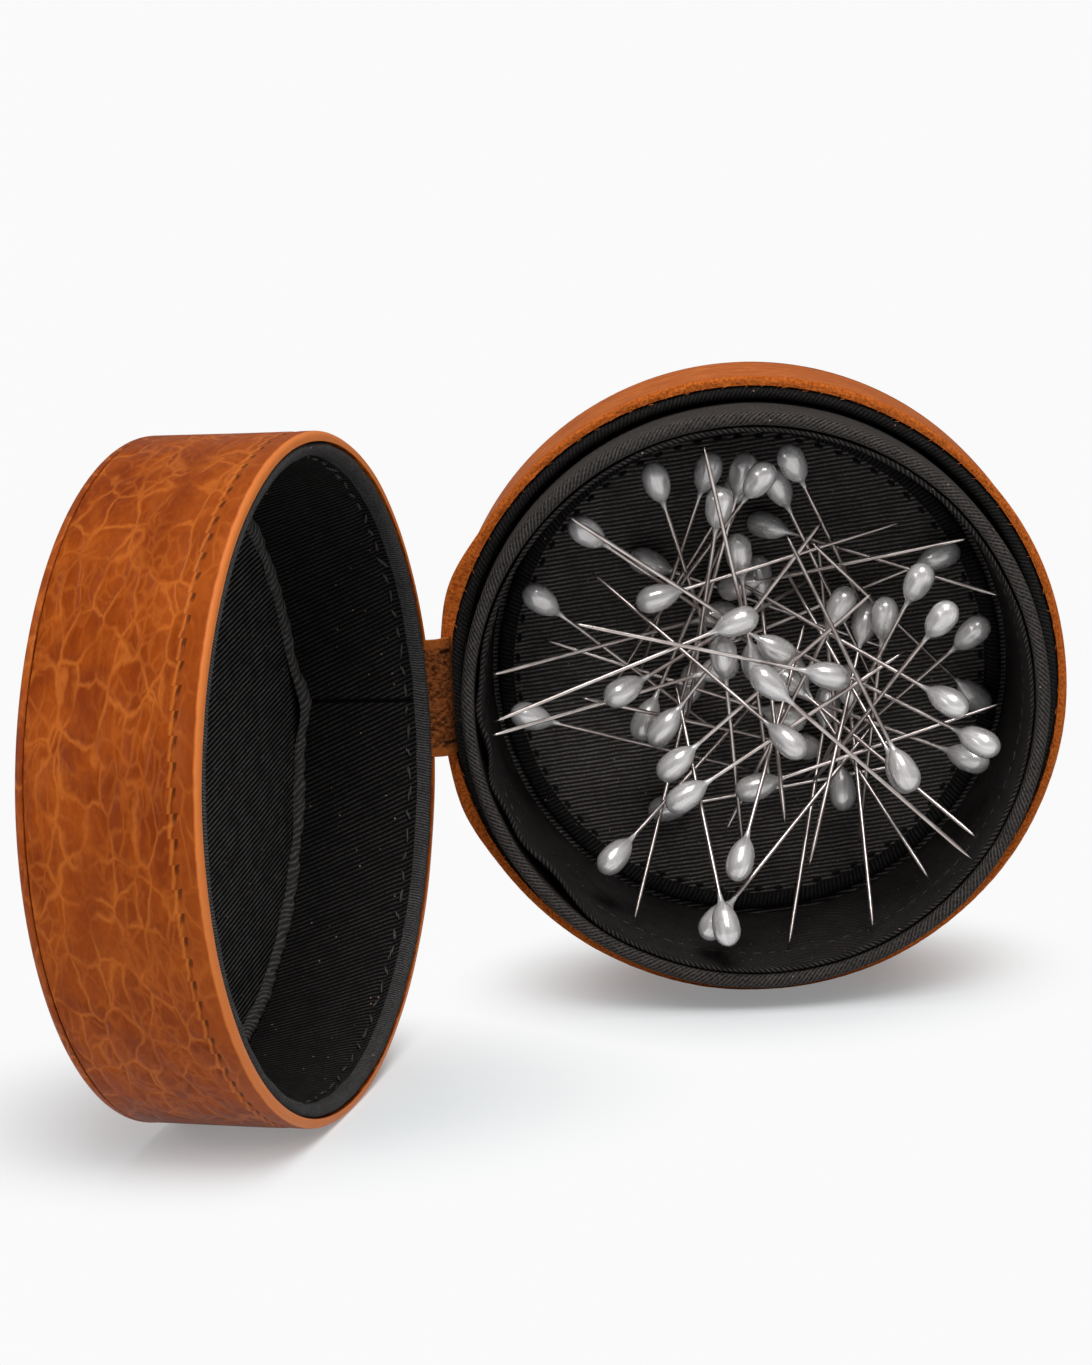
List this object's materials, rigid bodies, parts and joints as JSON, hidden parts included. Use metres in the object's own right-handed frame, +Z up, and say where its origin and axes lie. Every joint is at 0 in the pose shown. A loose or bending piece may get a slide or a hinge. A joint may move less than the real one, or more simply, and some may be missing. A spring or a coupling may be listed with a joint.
{
  "type": "magnetic needle case",
  "caption": "Round leather-covered pin case standing open on its side: magnetic base with a raised collar, strap-hinged lid, and pearl-headed pins clinging inside.",
  "frame": {"origin": "the middle of the ground that the open case covers, on the surface it stands on", "axes": "+X from the lid towards the base, +Y from the base's mouth towards its bottom, +Z up along the hinge line"},
  "size_m": [0.1336, 0.1124, 0.0898],
  "materials": {
    "leather": "pebbled full-grain tan leather with a soft sheen",
    "strap_leather": "tan leather, suede flesh side showing",
    "twill": "matt black ribbed twill",
    "grey_board": "stiff paper board, hidden",
    "magnet": "plain ferrite disc, hidden",
    "pearl": "pearl drop on a bright steel wire"
  },
  "bodies": {
    "base": {"base_leather_wall": "leather", "base_leather_bottom": "leather", "base_bottom_board": "grey_board", "base_wall_board": "grey_board", "base_rim_binding": "twill", "collar_board": "grey_board", "collar_cover": "twill", "base_wall_lining": "twill", "magnet": "magnet", "magnet_ring_board": "grey_board", "base_floor_lining": "twill", "base_floor_seam": "twill", "hinge_strap_base": "strap_leather", "pin_01": "pearl", "pin_02": "pearl", "pin_03": "pearl", "pin_04": "pearl", "pin_05": "pearl", "pin_06": "pearl", "pin_07": "pearl", "pin_08": "pearl", "pin_09": "pearl", "pin_10": "pearl", "pin_11": "pearl", "pin_12": "pearl", "pin_13": "pearl", "pin_14": "pearl", "pin_15": "pearl", "pin_16": "pearl", "pin_17": "pearl", "pin_18": "pearl", "pin_19": "pearl", "pin_20": "pearl", "pin_21": "pearl", "pin_22": "pearl", "pin_23": "pearl", "pin_24": "pearl", "pin_25": "pearl", "pin_26": "pearl", "pin_27": "pearl", "pin_28": "pearl", "pin_29": "pearl", "pin_30": "pearl", "pin_31": "pearl", "pin_32": "pearl", "pin_33": "pearl", "pin_34": "pearl", "pin_35": "pearl", "pin_36": "pearl", "pin_37": "pearl", "pin_38": "pearl"},
    "lid": {"lid_leather_wall": "leather", "lid_leather_top": "leather", "lid_top_board": "grey_board", "lid_wall_board": "grey_board", "lid_rim_binding": "twill", "lid_wall_lining": "twill", "lid_floor_lining": "twill", "lid_floor_seam": "twill", "hinge_strap_lid": "strap_leather"}
  },
  "joints": [
    {"name": "lid_hinge", "type": "hinge", "parent": "base", "child": "lid", "pos_m": [-0.02361, 0.0317, 0.0449], "axis": [0, 0, 1], "range_deg": [-77, 103]}
  ]
}
